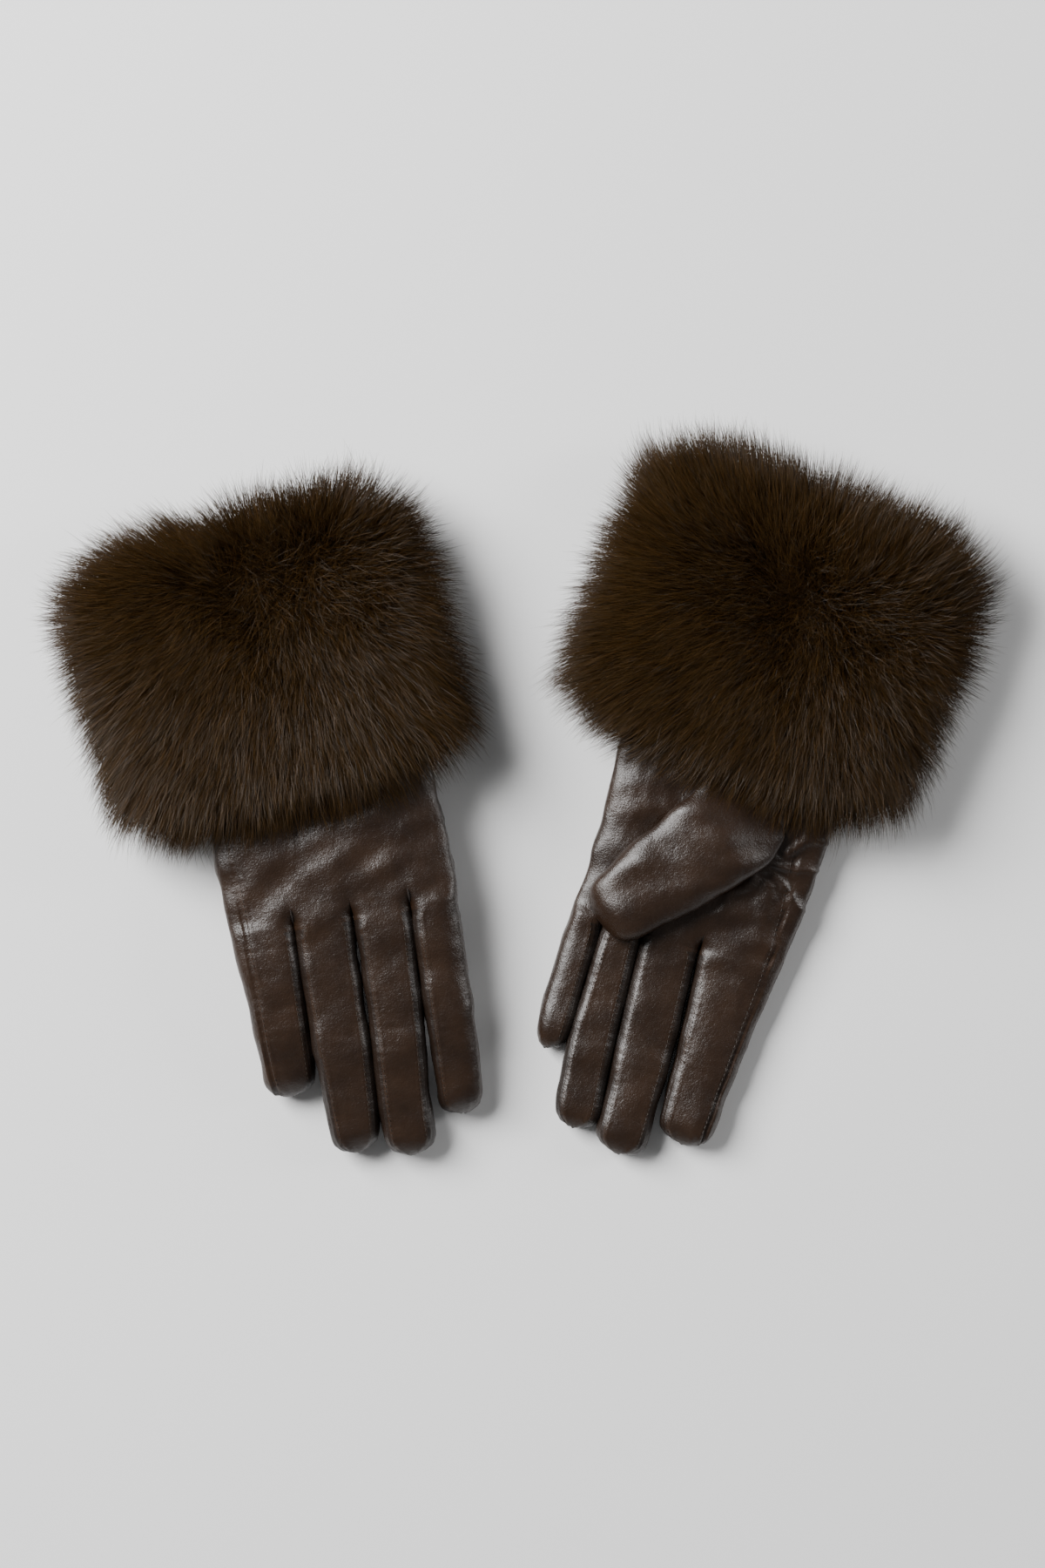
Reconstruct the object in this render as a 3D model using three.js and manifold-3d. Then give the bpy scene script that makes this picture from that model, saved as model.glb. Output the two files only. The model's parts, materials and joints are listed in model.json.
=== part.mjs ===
// A pair of lined leather gloves with deep fur cuffs, laid side by side on a table.
// The right-hand glove lies back up with its thumb folded under the palm.
// The left-hand glove lies palm up with its thumb folded across the palm.
// Millimetres, +Z up, +Y from the fingertips towards the cuffs, origin under the middle of the pair.
import * as THREE from "three";
import { mergeVertices } from "three/addons/utils/BufferGeometryUtils.js";
import Module from "manifold-3d";

const wasm = await Module();
wasm.setup();

// ---------------------------------------------------------------- driving dimensions
const LEATHER = 0.9; // thickness of the outer leather
const LINING = 1.0; // thickness of the knitted lining
const PLY = 0.3; // room between leather and lining, and between neighbouring pieces
const FINGER_GAP = 0.8; // between two neighbouring finger sleeves
const HINGE_GAP = 0.3; // from a hinge plane to the end of a sleeve
const TIP_RUN = 5; // length over which a fingertip rounds off

const CUFF_OVERHANG = 8; // fur past the wrist seam, towards the fingers
const FACING_START = 1.6; // the facing starts this far past the seam, so the wrist can flex
const SEAM_WIDTH = 76; // the leather at the wrist seam
const SEAM_HEIGHT = 12;
const THUMB_HOLE = [9, 7]; // half axes of the thumb hole in the palm
const LINING_START = 0.22; // the hand lining starts this share of the way up the palm, past the fourchettes

// Each finger is [name, y of its tip, stations]; a station is [y, centre x, width].
const RIGHT = {
  side: "right",
  place: [-65.4, -42.4],
  tilt: 10,
  palmUp: false,
  knuckle: -6,
  fingers: [
    ["little", -59.2, [[0, -30, 22.9], [-52, -29.8, 18.9]]],
    ["ring", -83.5, [[0, -8, 21], [-45, -9.4, 20.8], [-77, -10.3, 16.8]]],
    ["middle", -87.5, [[0, 13, 20.9], [-45, 11, 19.3], [-77, 8.6, 17.7]]],
    ["index", -76, [[0, 32.6, 18.4], [-53, 29.8, 17.3], [-69, 28.9, 16.2]]],
  ],
  fingerHeight: 11.5,
  floor: { knuckle: 12, joint: 8, tip: 0.3 }, // height of a finger's underside
  hand: [
    { x: 0.2, width: 82.4, low: 12, high: 24.6 },
    { y: 37, x: -1.5, width: 83.5, low: 12.2, high: 25 },
  ],
  wrist: { x: -5.8, y: 57, z: 18.5, turn: 5.5 },
  fur: { halfWidth: 70, height: 44, length: 86 },
  thumb: { base: [12, 28], length: 55, inward: 60, gap: 2.9, height: 8.8, widths: [26, 23, 17] },
};
const LEFT = {
  side: "left",
  place: [52.7, -52],
  tilt: -16.5,
  palmUp: true,
  knuckle: -7.5,
  fingers: [
    ["little", -48.5, [[0, -33.9, 12.2], [-44, -33.6, 11.4]]],
    ["ring", -73.5, [[0, -20.5, 14.5], [-44, -19.6, 17.0], [-69, -17.2, 16.2]]],
    ["middle", -78, [[0, -2.6, 21.3], [-38, -0.5, 21.2], [-66, 0.6, 18.6]]],
    ["index", -68, [[0, 23.3, 30.6], [-44, 22.2, 22.3], [-62, 21.8, 20.3]]],
  ],
  fingerHeight: 11.5,
  floor: { knuckle: 0, joint: 0, tip: 0 },
  hand: [
    { x: -0.9, width: 78.4, low: 0, high: 12.6 },
    { y: 35, x: 1, width: 79.5, low: 3.2, high: 15.5 },
  ],
  wrist: { x: 1.6, y: 76, z: 12.5, turn: -5 },
  fur: { halfWidth: 67, height: 40, length: 92 },
  thumb: { base: [8, 47], length: 60.5, inward: 36, gap: 0.5, height: 9.6, widths: [33, 29.5, 21] },
};

const LEATHER_BROWN = new THREE.MeshStandardMaterial({ color: 0x3a2a20, roughness: 0.35, metalness: 0 });
const LINING_BROWN = new THREE.MeshStandardMaterial({ color: 0x2c2320, roughness: 0.95, metalness: 0 });
const FUR_BROWN = new THREE.MeshStandardMaterial({ color: 0x2a1c0c, roughness: 0.8, metalness: 0 });
const FACING_BROWN = new THREE.MeshStandardMaterial({ color: 0x241a14, roughness: 0.6, metalness: 0 });

// ---------------------------------------------------------------- sections
// Half outlines, x from the middle outwards, as shares of the half width and half height.
const TUBE = [[0.6, -1], [1, -0.45], [1, 0.45], [0.6, 1]];
const FLAT_TUBE = [[0.82, -1], [0.96, -0.72], [1, -0.25], [1, 0.25], [0.96, 0.72], [0.82, 1]];
const FUR_TUBE = [[0.8, -1], [0.96, -0.68], [1, -0.16], [0.95, 0.4], [0.75, 0.8], [0.35, 1]];

const radians = THREE.MathUtils.degToRad;
const mix = (a, b, share) => a + (b - a) * share;

// The whole outline: up the right-hand side, then down the left-hand side.
const bothSides = (half) => [...half, ...half.toReversed().map(([x, z]) => [-x, z])];

// One ring of points. A section has a centre x, y, z, a width, a height and a turn about Z.
function ring(section, outline, inset = 0) {
  const a = section.width / 2 - inset;
  const b = section.height / 2 - inset;
  const turn = radians(section.turn ?? 0);
  return outline.map(
    ([px, pz]) =>
      new THREE.Vector3(
        section.x + px * a * Math.cos(turn),
        section.y + px * a * Math.sin(turn),
        section.z + pz * b,
      ),
  );
}

// ---------------------------------------------------------------- closed shells from rings
function solid(rings, faces) {
  const positions = rings.flat().flatMap((p) => [p.x, p.y, p.z]);
  const geometry = new THREE.BufferGeometry();
  geometry.setAttribute("position", new THREE.Float32BufferAttribute(positions, 3));
  geometry.setIndex(faces);
  if (signedVolume(geometry) < 0) geometry.setIndex(faces.toReversed());
  return geometry;
}

function signedVolume(geometry) {
  const at = geometry.getAttribute("position");
  const index = geometry.getIndex().array;
  const [a, b, c] = [new THREE.Vector3(), new THREE.Vector3(), new THREE.Vector3()];
  let volume = 0;
  for (let i = 0; i < index.length; i += 3) {
    a.fromBufferAttribute(at, index[i]);
    b.fromBufferAttribute(at, index[i + 1]);
    c.fromBufferAttribute(at, index[i + 2]);
    volume += a.dot(b.cross(c)) / 6;
  }
  return volume;
}

// A hollow tube. Its first end is open; its far end is open too, or closed by a cap on both skins.
function tube(outer, inner, closedTip) {
  const n = outer[0].length;
  const faces = [];
  const quad = (a, b, c, d) => faces.push(a, b, c, a, c, d);
  const skin = (first, count, flip) => {
    for (let r = 0; r + 1 < count; r++)
      for (let i = 0; i < n; i++) {
        const [a, b] = [first + r * n + i, first + r * n + ((i + 1) % n)];
        if (flip) quad(a, a + n, b + n, b);
        else quad(a, b, b + n, a + n);
      }
  };
  const cap = (first, flip) => {
    for (let i = 1; i + 1 < n; i++)
      faces.push(first, first + (flip ? i + 1 : i), first + (flip ? i : i + 1));
  };
  const rim = (o, k, flip) => {
    for (let i = 0; i < n; i++) {
      const j = (i + 1) % n;
      if (flip) quad(o + i, k + i, k + j, o + j);
      else quad(o + i, o + j, k + j, k + i);
    }
  };
  const innerStart = outer.length * n;
  const outerEnd = innerStart - n;
  const innerEnd = innerStart + (inner.length - 1) * n;
  skin(0, outer.length, false);
  skin(innerStart, inner.length, true);
  rim(0, innerStart, true);
  if (closedTip) {
    cap(outerEnd, false);
    cap(innerEnd, true);
  } else rim(outerEnd, innerEnd, false);
  return solid([...outer, ...inner], faces);
}

// An open shell, C-shaped in section, from matching outer and inner arcs.
function openShell(outer, inner) {
  const n = outer[0].length;
  const loops = outer.map((arc, r) => [...arc, ...inner[r].toReversed()]);
  const m = 2 * n;
  const faces = [];
  for (let r = 0; r + 1 < loops.length; r++)
    for (let i = 0; i < m; i++) {
      const [a, b] = [r * m + i, r * m + ((i + 1) % m)];
      faces.push(a, b, b + m, a, b + m, a + m);
    }
  const end = (first, flip) => {
    for (let i = 0; i + 1 < n; i++) {
      const [a, b, c, d] = [first + i, first + i + 1, first + m - 2 - i, first + m - 1 - i];
      faces.push(...(flip ? [a, c, b, a, d, c] : [a, b, c, a, c, d]));
    }
  };
  end(0, true);
  end((loops.length - 1) * m, false);
  return solid(loops, faces);
}

// ---------------------------------------------------------------- booleans
function asManifold(geometry) {
  const bare = geometry.clone();
  bare.deleteAttribute("normal");
  bare.deleteAttribute("uv");
  const merged = mergeVertices(bare, 1e-4);
  return new wasm.Manifold(
    new wasm.Mesh({
      numProp: 3,
      vertProperties: merged.getAttribute("position").array,
      triVerts: new Uint32Array(merged.getIndex().array),
    }),
  );
}

function cut(geometry, tool) {
  const mesh = asManifold(geometry).subtract(asManifold(tool)).getMesh();
  const made = new THREE.BufferGeometry();
  made.setAttribute("position", new THREE.Float32BufferAttribute(mesh.vertProperties, 3));
  made.setIndex(new THREE.BufferAttribute(mesh.triVerts, 1));
  return made;
}

// An upright elliptic punch at (x, y), between two heights.
function punch(x, y, low, high, [rx, ry], turn = 0) {
  const outline = new THREE.Shape();
  outline.absellipse(0, 0, rx, ry, 0, 2 * Math.PI, false, radians(turn));
  const made = new THREE.ExtrudeGeometry(outline, { depth: high - low, bevelEnabled: false, curveSegments: 3 });
  return made.translate(x, y, low);
}

function named(name, geometry, material) {
  const mesh = new THREE.Mesh(geometry, material);
  mesh.name = name;
  return mesh;
}

// ---------------------------------------------------------------- fingers
// Centre and width of a finger at y, straight between its stations.
function across(stations, y) {
  let k = 0;
  while (k + 2 < stations.length && y < stations[k + 1][0]) k++;
  const [[y0, x0, w0], [y1, x1, w1]] = [stations[k], stations[k + 1]];
  const share = (y - y0) / (y1 - y0);
  return { x: mix(x0, x1, share), width: mix(w0, w1, share) - FINGER_GAP };
}

const jointOf = (glove, tip) => (glove.knuckle + tip) / 2;

function fingerSection(glove, [, tip, stations], y) {
  const joint = jointOf(glove, tip);
  const { floor, fingerHeight } = glove;
  const low =
    y > joint
      ? mix(floor.knuckle, floor.joint, (y - glove.knuckle) / (joint - glove.knuckle))
      : mix(floor.joint, floor.tip, (y - joint) / (tip - joint));
  return { ...across(stations, y), y, z: low + fingerHeight / 2, height: fingerHeight };
}

// The rounded end of a finger, its skin lying back from the tip by inset.
function fingerEnd(glove, finger, inset) {
  const tip = finger[1] + inset;
  return [[TIP_RUN, 1, 1], [1.4, 0.84, 0.86], [0, 0.62, 0.6]].map(([back, w, h]) => {
    const s = fingerSection(glove, finger, tip + back);
    const low = s.z - s.height / 2;
    return { ...s, width: s.width * w, height: s.height * h, z: low + (s.height / 2) * (glove.palmUp ? 1 : mix(h, 1, 0.4)) };
  });
}

function fingerPieces(glove, finger) {
  const [name, tip] = finger;
  const joint = jointOf(glove, tip);
  const outline = bothSides(TUBE);
  const sectionsAt = (ys) => ys.map((y) => fingerSection(glove, finger, y));
  const near = sectionsAt([glove.knuckle - HINGE_GAP, (glove.knuckle + joint) / 2, joint + HINGE_GAP]);
  const far = sectionsAt([joint - HINGE_GAP]);
  const layer = (part, skin, thickness, material) => {
    const back = skin + thickness;
    const rings = (sections, inset) => sections.map((s) => ring(s, outline, inset));
    return [
      named(`${glove.side}_${name}_proximal_${part}`, tube(rings(near, skin), rings(near, back), false), material),
      named(
        `${glove.side}_${name}_distal_${part}`,
        tube(
          rings([...far, ...fingerEnd(glove, finger, skin)], skin),
          rings([...far, ...fingerEnd(glove, finger, back)], back),
          true,
        ),
        material,
      ),
    ];
  };
  return [
    ...layer("sleeve", 0, LEATHER, LEATHER_BROWN),
    ...layer("lining", LEATHER + PLY, LINING, LINING_BROWN),
  ];
}

// ---------------------------------------------------------------- the hand
// The hand's sections from the knuckles to the wrist seam.
function handSections(glove) {
  const { wrist, knuckle, hand } = glove;
  const first = { y: knuckle + HINGE_GAP, ...hand[0] };
  const made = [first, hand[1]].map((s) => ({ ...s, height: s.high - s.low, z: (s.high + s.low) / 2 }));
  const turn = radians(wrist.turn);
  made.push({
    x: wrist.x + 0.5 * Math.sin(turn),
    y: wrist.y - 0.5 * Math.cos(turn),
    z: wrist.z,
    width: SEAM_WIDTH,
    height: SEAM_HEIGHT,
    turn: wrist.turn,
  });
  return made;
}

// The section part of the way from one section to the next.
function between(first, last, share) {
  const made = {};
  for (const key of ["x", "y", "z", "width", "height"]) made[key] = mix(first[key], last[key], share);
  return made;
}

function thumbHole(glove) {
  const [x, y] = glove.thumb.base;
  const middle = handSections(glove)[1].z;
  return glove.palmUp ? punch(x, y, middle, middle + 30, THUMB_HOLE) : punch(x, y, middle - 30, middle, THUMB_HOLE);
}

function handPieces(glove) {
  const sections = handSections(glove);
  const upper = [[1, 0.05], [1, 0.25], [0.96, 0.72], [0.82, 1]];
  const over = [...upper, ...upper.toReversed().map(([x, z]) => [-x, z])];
  const under = over.map(([x, z]) => [x, -z]);
  const shell = (arc) => openShell(sections.map((s) => ring(s, arc)), sections.map((s) => ring(s, arc, LEATHER)));
  const [palmArc, backArc] = glove.palmUp ? [over, under] : [under, over];
  const skin = LEATHER + PLY;
  const outline = bothSides(FLAT_TUBE);
  const lined = [between(sections[0], sections[1], LINING_START), ...sections.slice(1)];
  const lining = tube(
    lined.map((s) => ring(s, outline, skin)),
    lined.map((s) => ring(s, outline, skin + LINING)),
    false,
  );
  return [
    named(`${glove.side}_palm_panel`, cut(shell(palmArc), thumbHole(glove)), LEATHER_BROWN),
    named(`${glove.side}_back_panel`, shell(backArc), LEATHER_BROWN),
    named(`${glove.side}_hand_lining`, cut(lining, thumbHole(glove)), LINING_BROWN),
  ];
}

// The forked root of a fourchette, the strip sewn in between two fingers.
function fourchette(glove, first, second) {
  const y = glove.knuckle + HINGE_GAP;
  const [a, b] = [across(first[2], y), across(second[2], y)];
  const x = (a.x + a.width / 2 + b.x - b.width / 2) / 2;
  const fork = new THREE.Shape();
  fork.moveTo(0, 1.6 - y);
  fork.lineTo(-2.2, 0);
  fork.lineTo(-1.2, 0);
  fork.lineTo(0, 0.4 - y);
  fork.lineTo(1.2, 0);
  fork.lineTo(2.2, 0);
  fork.closePath();
  const { low, high } = glove.hand[0];
  const inset = LEATHER + 2 * PLY;
  const made = new THREE.ExtrudeGeometry(fork, { depth: high - low - 2 * inset, bevelEnabled: false });
  made.translate(x, y, low + inset);
  return named(`${glove.side}_fourchette_${first[0]}_${second[0]}`, made, LEATHER_BROWN);
}

// ---------------------------------------------------------------- the thumb
// Built on the palm's plane with its root at the origin, pointing along -Y, and turned afterwards.
function thumbGroup(glove) {
  const { base, length, inward, gap, height, widths } = glove.thumb;
  const joint = -length / 2;
  const z = gap + height / 2;
  const outline = bothSides(TUBE);
  const at = (y, width, share = 1) => ({ x: 0, y, z, width, height: height * share });
  const root = (inset) => [at(12.2 - inset, widths[0] * 0.7, 0.7), at(8, widths[0])];
  const tip = (inset) => [
    at(-length + TIP_RUN + inset, widths[2]),
    at(-length + 1.4 + inset, widths[2] * 0.84, 0.86),
    at(-length + inset, widths[2] * 0.62, 0.62),
  ];
  const group = new THREE.Group();
  const layer = (part, skin, thickness, material) => {
    const back = skin + thickness;
    const near = (inset) => [at(joint + HINGE_GAP, widths[1]), ...root(inset).toReversed()];
    const far = (inset) => [at(joint - HINGE_GAP, widths[1]), ...tip(inset)];
    const rings = (sections, inset) => sections.map((s) => ring(s, outline, inset));
    const proximal = tube(rings(near(skin), skin), rings(near(back), back), true);
    const opening = punch(0, 0, gap - 2, z, THUMB_HOLE);
    group.add(
      named(`${glove.side}_thumb_proximal_${part}`, cut(proximal, opening), material),
      named(`${glove.side}_thumb_distal_${part}`, tube(rings(far(skin), skin), rings(far(back), back), true), material),
    );
  };
  layer("sleeve", 0, LEATHER, LEATHER_BROWN);
  layer("lining", LEATHER + PLY, LINING, LINING_BROWN);

  const [, near, far] = handSections(glove);
  const face = (s) => s.z + ((glove.palmUp ? 1 : -1) * s.height) / 2;
  const slope = (face(far) - face(near)) / (far.y - near.y);
  group.rotation.order = "XYZ";
  group.rotation.x = glove.palmUp ? Math.atan(slope) : 0;
  group.rotation.z = -radians(inward);
  group.scale.z = glove.palmUp ? 1 : -1;
  const low = glove.palmUp ? near : glove.hand[0];
  const height0 = glove.palmUp ? face(near) + slope * (base[1] - near.y) : low.low;
  group.position.set(base[0], base[1], height0);
  return group;
}

// ---------------------------------------------------------------- the cuff
// Built with the wrist seam on y = 0, running up +Y to the open mouth.
function cuffGroup(glove) {
  const { wrist, fur } = glove;
  const outline = bothSides(FUR_TUBE);
  const mouth = bothSides(FLAT_TUBE);
  const middle = fur.height / 2;
  const end = fur.length;
  const outer = [[-CUFF_OVERHANG, 0.93], [0, 0.98], [14, 1], [end - 20, 1], [end - 6, 0.97], [end, 0.92]];
  const inner = [[-CUFF_OVERHANG, 5.5, 7], [0, 1.6, 2.8], [end, 1.6, 2.8]];
  const furRings = outer.map(([y, share]) => {
    const height = fur.height * share;
    const z = middle - (fur.height - height) * 0.15;
    return ring({ x: 0, y, z, width: 2 * fur.halfWidth * share, height }, outline);
  });
  const holeRings = inner.map(([y, w, h]) =>
    ring({ x: 0, y, z: wrist.z, width: SEAM_WIDTH + w, height: SEAM_HEIGHT + h }, mouth),
  );
  const facing = (inset) =>
    [FACING_START, end - 4].map((y) =>
      ring({ x: 0, y, z: wrist.z, width: SEAM_WIDTH + 1, height: SEAM_HEIGHT + 2 }, mouth, inset),
    );
  const group = new THREE.Group();
  group.add(
    named(`${glove.side}_fur_cuff`, tube(furRings, holeRings, false), FUR_BROWN),
    named(`${glove.side}_cuff_facing`, tube(facing(0), facing(LINING), false), FACING_BROWN),
  );
  group.position.set(wrist.x, wrist.y, 0);
  group.rotation.z = radians(wrist.turn);
  return group;
}

// ---------------------------------------------------------------- the pair
function gloveGroup(glove) {
  const group = new THREE.Group();
  group.add(...handPieces(glove));
  for (const finger of glove.fingers) group.add(...fingerPieces(glove, finger));
  for (let i = 0; i + 1 < glove.fingers.length; i++)
    group.add(fourchette(glove, glove.fingers[i], glove.fingers[i + 1]));
  group.add(thumbGroup(glove), cuffGroup(glove));
  group.position.set(glove.place[0], glove.place[1], 0);
  group.rotation.z = radians(glove.tilt);
  return group;
}

const pair = new THREE.Group();
pair.add(gloveGroup(RIGHT), gloveGroup(LEFT));
export default pair;
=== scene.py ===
"""A pair of lined leather gloves with deep fur cuffs, seen from straight above.

Shapes are worked out in millimetres in each glove's own space: +X across the hand, +Y from the
fingertips to the cuff, +Z up, with Y = 0 where the fingers divide. place_points() takes them to the frame.
"""
import json
import math

import bpy
import numpy as np
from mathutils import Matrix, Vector, kdtree


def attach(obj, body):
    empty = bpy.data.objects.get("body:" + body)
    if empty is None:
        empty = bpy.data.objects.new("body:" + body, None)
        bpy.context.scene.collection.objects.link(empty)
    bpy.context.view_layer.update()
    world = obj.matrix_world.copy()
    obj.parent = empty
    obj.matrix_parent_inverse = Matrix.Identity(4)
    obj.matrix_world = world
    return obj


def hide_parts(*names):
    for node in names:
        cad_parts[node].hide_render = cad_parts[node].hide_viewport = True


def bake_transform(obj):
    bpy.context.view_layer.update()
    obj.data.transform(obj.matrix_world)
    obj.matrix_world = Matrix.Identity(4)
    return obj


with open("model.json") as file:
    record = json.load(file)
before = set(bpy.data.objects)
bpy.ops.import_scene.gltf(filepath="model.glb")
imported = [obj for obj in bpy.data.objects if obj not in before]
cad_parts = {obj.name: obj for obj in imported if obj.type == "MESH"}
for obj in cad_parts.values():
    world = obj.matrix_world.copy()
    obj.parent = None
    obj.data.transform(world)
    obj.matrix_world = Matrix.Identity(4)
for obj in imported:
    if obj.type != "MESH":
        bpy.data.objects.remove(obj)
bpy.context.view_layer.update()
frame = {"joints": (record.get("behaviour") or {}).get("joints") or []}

MM = 0.001
JOINTS = {joint["name"]: joint for joint in frame["joints"]}
FINGERS = ("little", "ring", "middle", "index")

# ---------------------------------------------------------------- the two gloves
# place, tilt: where the glove's own space lies in the frame. palm: 1 if it faces up, -1 if down.
# knuckle: y of the knuckle hinges. fingers: y of the tip, then stations of (y, centre x, width).
# edges, low, high, seams: (y, value) points of the outline, the two skins and the side seams.
# floor: underside of a finger at its middle joint and at its tip. wrist: x, y, z and angle of the cuff.
# thumb stations: (y, left x, right x) in the thumb's own space, which is turned inward degrees.
# fur: the cuff's half axes, their middle (x, z), its far end, the centre of the whorl, the pile's length.
RIGHT = {
    "side": "right",
    "place": (-65.4, -42.4),
    "tilt": 10,
    "palm": -1,
    "knuckle": -6,
    "fingers": {
        "little": (-60.5, [(0, -30, 22.9), (-52, -29.8, 19.4)]),
        "ring": (-84.5, [(0, -8, 21), (-45, -9.4, 20.8), (-77, -10.3, 17.6)]),
        "middle": (-88.5, [(0, 13, 20.9), (-45, 11, 19.3), (-77, 8.6, 18.6)]),
        "index": (-77, [(0, 32.6, 18.4), (-53, 29.8, 17.3), (-69, 28.9, 17)]),
    },
    "left_edge": [(60, -43.6), (37, -43), (5, -41.7), (-24, -40.2), (-60, -39)],
    "right_edge": [(60, 38.6), (46, 39.4), (28, 40.4), (9, 40.9), (-22, 40.1), (-53, 38), (-67, 37.1)],
    "low": [(57, 12.5), (37, 12.2), (-6, 11.6)],
    "high": [(57, 24.5), (37, 25), (-6, 23.6)],
    "floor": (8, 0.5),
    "finger_height": 11.8,
    "wrist": (-5.8, 57, 18.5, 5.5),
    "seams": {
        "top": [(57, -36.6), (36, -36.4), (16, -35.6), (-12, -35.9), (-49, -36.3), (-60, -35)],
        "bottom": [(57, 31), (30, 33), (0, 36), (-30, 36.4), (-66, 34)],
    },
    "thumb": {
        "base": (12, 28),
        "inward": 60,
        "tip": -55,
        "gap": 2.6,
        "height": 8.8,
        "stations": [
            (18, -17, 5), (8, -17, 13), (0, -15, 15), (-20, -14, 13.5), (-40, -12.5, 10.5), (-55, -11, 8),
        ],
    },
    "fur": {"half": (54, 12.5), "middle": (-3, 16), "end": 84, "centre": (16, 66), "pile": 29},
}
LEFT = {
    "side": "left",
    "place": (52.7, -52),
    "tilt": -16.5,
    "palm": 1,
    "knuckle": -7.5,
    "fingers": {
        "little": (-50, [(0, -33.9, 12.2), (-44, -33.6, 11.8)]),
        "ring": (-74.5, [(0, -20.5, 14.5), (-44, -19.6, 17.2), (-69, -17.2, 17)]),
        "middle": (-79, [(0, -2.6, 21.3), (-38, -0.5, 21.2), (-66, 0.6, 19.4)]),
        "index": (-69, [(0, 23.3, 30.6), (-44, 22.2, 22.3), (-62, 21.8, 20.8)]),
    },
    "left_edge": [
        (78, -41), (68, -40.8), (48, -39.5), (32, -38.4), (9, -39.3), (-14, -40.6), (-33, -40.7), (-48, -39),
    ],
    "right_edge": [(78, 42), (54, 41.7), (29, 40.3), (3, 38.4), (-20, 35.7), (-48, 32.6), (-63, 31.4)],
    "low": [(76, 6.5), (35, 3), (-7, 0.5)],
    "high": [(76, 18.5), (35, 15.5), (-7, 12.4)],
    "floor": (0.4, 0.4),
    "finger_height": 11.4,
    "wrist": (1.6, 76, 12.5, -5),
    "seams": {
        "top": [(76, 29.5), (49, 30.6), (21, 33.2), (0, 33.2), (-28, 31), (-61, 28.6)],
        "bottom": [(76, -33), (40, -33), (0, -36), (-30, -37.5), (-48, -36)],
    },
    "thumb": {
        "base": (10, 46),
        "inward": 36,
        "tip": -60.5,
        "gap": 0.2,
        "height": 10,
        "stations": [
            (24, -23, 2), (14, -22.8, 9), (6, -22.5, 14), (0, -22, 16), (-8, -21.3, 15.2),
            (-24, -20, 14.2), (-38, -19, 11.8), (-48, -17.8, 9.2), (-60, -16.5, 7.5),
        ],
    },
    "fur": {"half": (55, 12), "middle": (-3, 14.5), "end": 86, "centre": (13, 56), "pile": 28},
}


# ---------------------------------------------------------------- small mathematics
def ease(value, start, end):
    """0 before start, 1 after end, and a smooth step between them."""
    share = np.clip((value - start) / (end - start), 0, 1)
    return share * share * (3 - 2 * share)


def mix(a, b, share):
    """a at share 0, b at share 1."""
    return a + (b - a) * share


def curve(points, softness=4.0):
    """A smooth curve through (y, value) points, as a function of y."""
    ordered = sorted(points)
    step = 0.5
    ys = np.arange(-140, 140, step)
    values = np.interp(ys, [p[0] for p in ordered], [p[1] for p in ordered])
    reach = int(3 * softness / step)
    weights = np.exp(-0.5 * (np.arange(-reach, reach + 1) * step / softness) ** 2)
    smooth = np.convolve(np.pad(values, reach, mode="edge"), weights / weights.sum(), "valid")
    return lambda y: np.interp(y, ys, smooth)


def ripple(points, wavelength, seed, waves=14):
    """A smooth random field over points (n, 3) in mm, mostly between -1 and 1."""
    rng = np.random.default_rng(seed)
    directions = rng.normal(size=(waves, 3))
    directions /= np.linalg.norm(directions, axis=1)[:, None]
    numbers = directions * (2 * np.pi / (wavelength * rng.uniform(0.7, 1.5, waves)))[:, None]
    phases = rng.uniform(0, 2 * np.pi, waves)
    return np.sin(points @ numbers.T + phases).sum(1) * 0.5 * math.sqrt(2 / waves)


def turn(points, degrees):
    """Points turned about Z."""
    a = math.radians(degrees)
    made = np.array(points, float)
    x, y = made[..., 0].copy(), made[..., 1].copy()
    made[..., 0] = x * math.cos(a) - y * math.sin(a)
    made[..., 1] = x * math.sin(a) + y * math.cos(a)
    return made


def place_points(glove, points):
    """Glove space in mm to the frame in metres."""
    made = turn(points, glove["tilt"])
    made[..., 0] += glove["place"][0]
    made[..., 1] += glove["place"][1]
    return made * MM


def cuff_to_glove(glove, points):
    """Cuff space, with the wrist seam on y = 0, to glove space."""
    x, y, _, angle = glove["wrist"]
    return turn(points, angle) + np.array([x, y, 0])


def thumb_to_glove(glove, points):
    """Thumb space, with its root at the origin and its tip at -Y, to glove space."""
    x, y = glove["thumb"]["base"]
    return turn(points, -glove["thumb"]["inward"]) + np.array([x, y, 0])


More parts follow.
